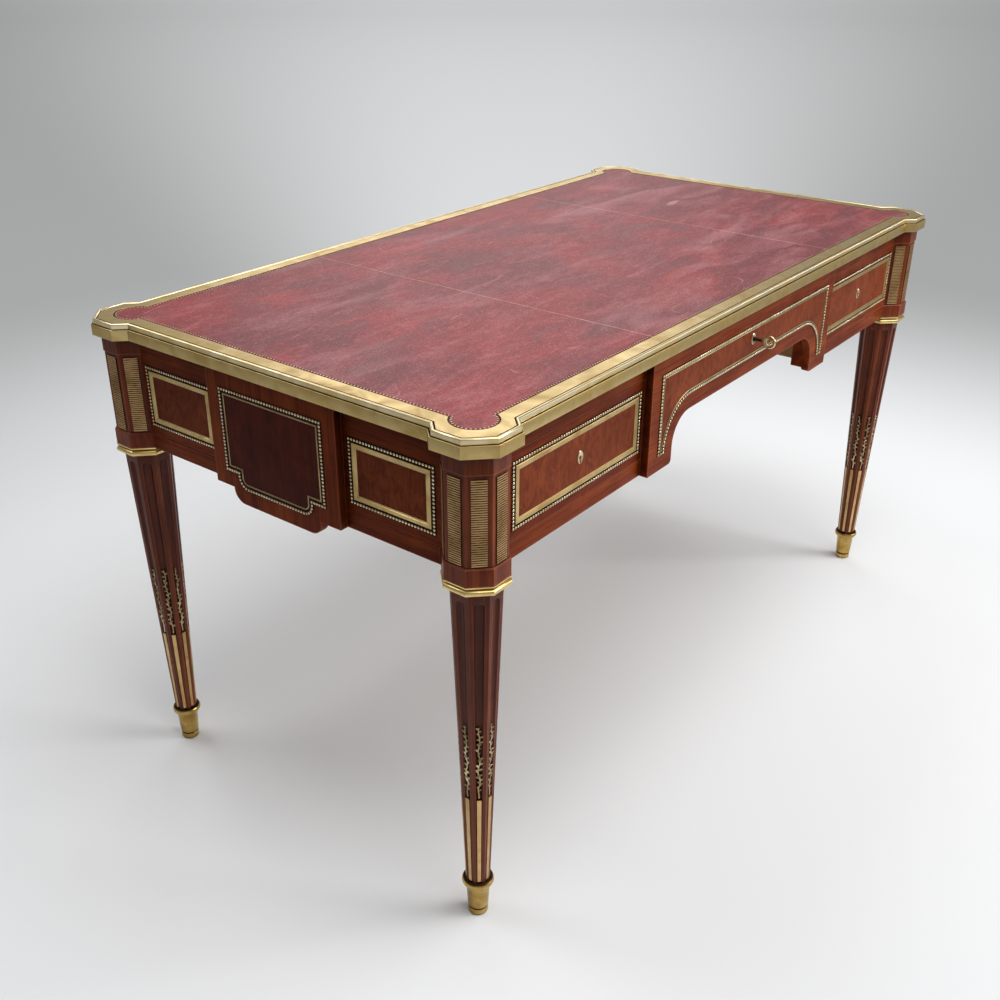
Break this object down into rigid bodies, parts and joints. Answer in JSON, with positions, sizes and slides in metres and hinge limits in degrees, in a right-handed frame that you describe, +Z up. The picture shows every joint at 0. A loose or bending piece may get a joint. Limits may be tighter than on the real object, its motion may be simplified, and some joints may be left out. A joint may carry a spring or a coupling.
{
  "type": "writing table",
  "caption": "Neoclassical leather-topped writing table with brass edge, frieze drawers that lock, an arched kneehole and octagonal fluted legs on brass sabots.",
  "frame": {"origin": "on the floor, under the middle of the top in plan", "axes": "+X along the length to the right as seen from the drawer side, drawers face -Y, +Z up"},
  "size_m": [1.4, 0.762, 0.762],
  "materials": {
    "mahogany": "french polished mahogany veneer",
    "oak": "plain planed oak",
    "leather": "waxed hide, worn burgundy",
    "brass": "cast and chased, softly polished",
    "steel": "filed bright"
  },
  "bodies": {
    "table": {"top_board": "mahogany", "leather_left": "leather", "leather_centre": "leather", "leather_right": "leather", "brass_band": "brass", "edge_moulding_lengths": "brass", "edge_moulding_corners": "brass", "leg_front_left": "mahogany", "leg_front_right": "mahogany", "leg_back_left": "mahogany", "leg_back_right": "mahogany", "sabot_front_left": "brass", "sabot_front_right": "brass", "sabot_back_left": "brass", "sabot_back_right": "brass", "leg_rings": "brass", "ribbed_plaques": "brass", "flute_strips": "brass", "flute_garlands": "brass", "front_upper_rail": "mahogany", "back_upper_rail": "mahogany", "front_lower_rails": "mahogany", "back_lower_rails": "mahogany", "divider_left": "oak", "divider_right": "oak", "end_board_left": "mahogany", "end_board_right": "mahogany", "end_lower_rails": "mahogany", "end_panel_left": "mahogany", "end_panel_right": "mahogany", "back_side_panels": "mahogany", "back_centre_board": "oak", "back_centre_panel": "mahogany", "drawer_runners": "oak", "drawer_kickers": "oak", "end_frames": "brass", "back_frames": "brass"},
    "left_drawer": {"left_drawer_front": "mahogany", "left_drawer_frame": "brass", "left_drawer_escutcheon": "brass", "left_drawer_lock_case": "steel", "left_drawer_walls": "oak", "left_drawer_bottom": "oak"},
    "right_drawer": {"right_drawer_front": "mahogany", "right_drawer_frame": "brass", "right_drawer_escutcheon": "brass", "right_drawer_lock_case": "steel", "right_drawer_walls": "oak", "right_drawer_bottom": "oak"},
    "centre_drawer": {"centre_drawer_front": "mahogany", "centre_drawer_frame": "brass", "centre_drawer_escutcheon": "brass", "centre_drawer_lock_case": "steel", "centre_drawer_walls": "oak", "centre_drawer_bottom": "oak"},
    "left_bolt": {"left_drawer_lock_bolt": "steel"},
    "right_bolt": {"right_drawer_lock_bolt": "steel"},
    "centre_bolt": {"centre_drawer_lock_bolt": "steel"},
    "key": {"key": "brass"}
  },
  "joints": [
    {"name": "left_drawer_slide", "type": "slide", "parent": "table", "child": "left_drawer", "axis": [0, -1, 0], "range_m": [0, 0.45]},
    {"name": "right_drawer_slide", "type": "slide", "parent": "table", "child": "right_drawer", "axis": [0, -1, 0], "range_m": [0, 0.45]},
    {"name": "centre_drawer_slide", "type": "slide", "parent": "table", "child": "centre_drawer", "axis": [0, -1, 0], "range_m": [0, 0.45]},
    {"name": "left_bolt_throw", "type": "slide", "parent": "left_drawer", "child": "left_bolt", "axis": [0, 0, 1], "range_m": [0, 0.007]},
    {"name": "right_bolt_throw", "type": "slide", "parent": "right_drawer", "child": "right_bolt", "axis": [0, 0, 1], "range_m": [0, 0.007]},
    {"name": "centre_bolt_throw", "type": "slide", "parent": "centre_drawer", "child": "centre_bolt", "axis": [0, 0, 1], "range_m": [0, 0.007]},
    {"name": "key_turn", "type": "hinge", "parent": "centre_drawer", "child": "key", "pos_m": [0, -0.3515, 0.691], "axis": [0, -1, 0], "range_deg": [0, 180]}
  ],
  "couplings": [
    {"joint": "centre_bolt_throw", "follows": "key_turn", "m_per_rad": 0.002228}
  ]
}
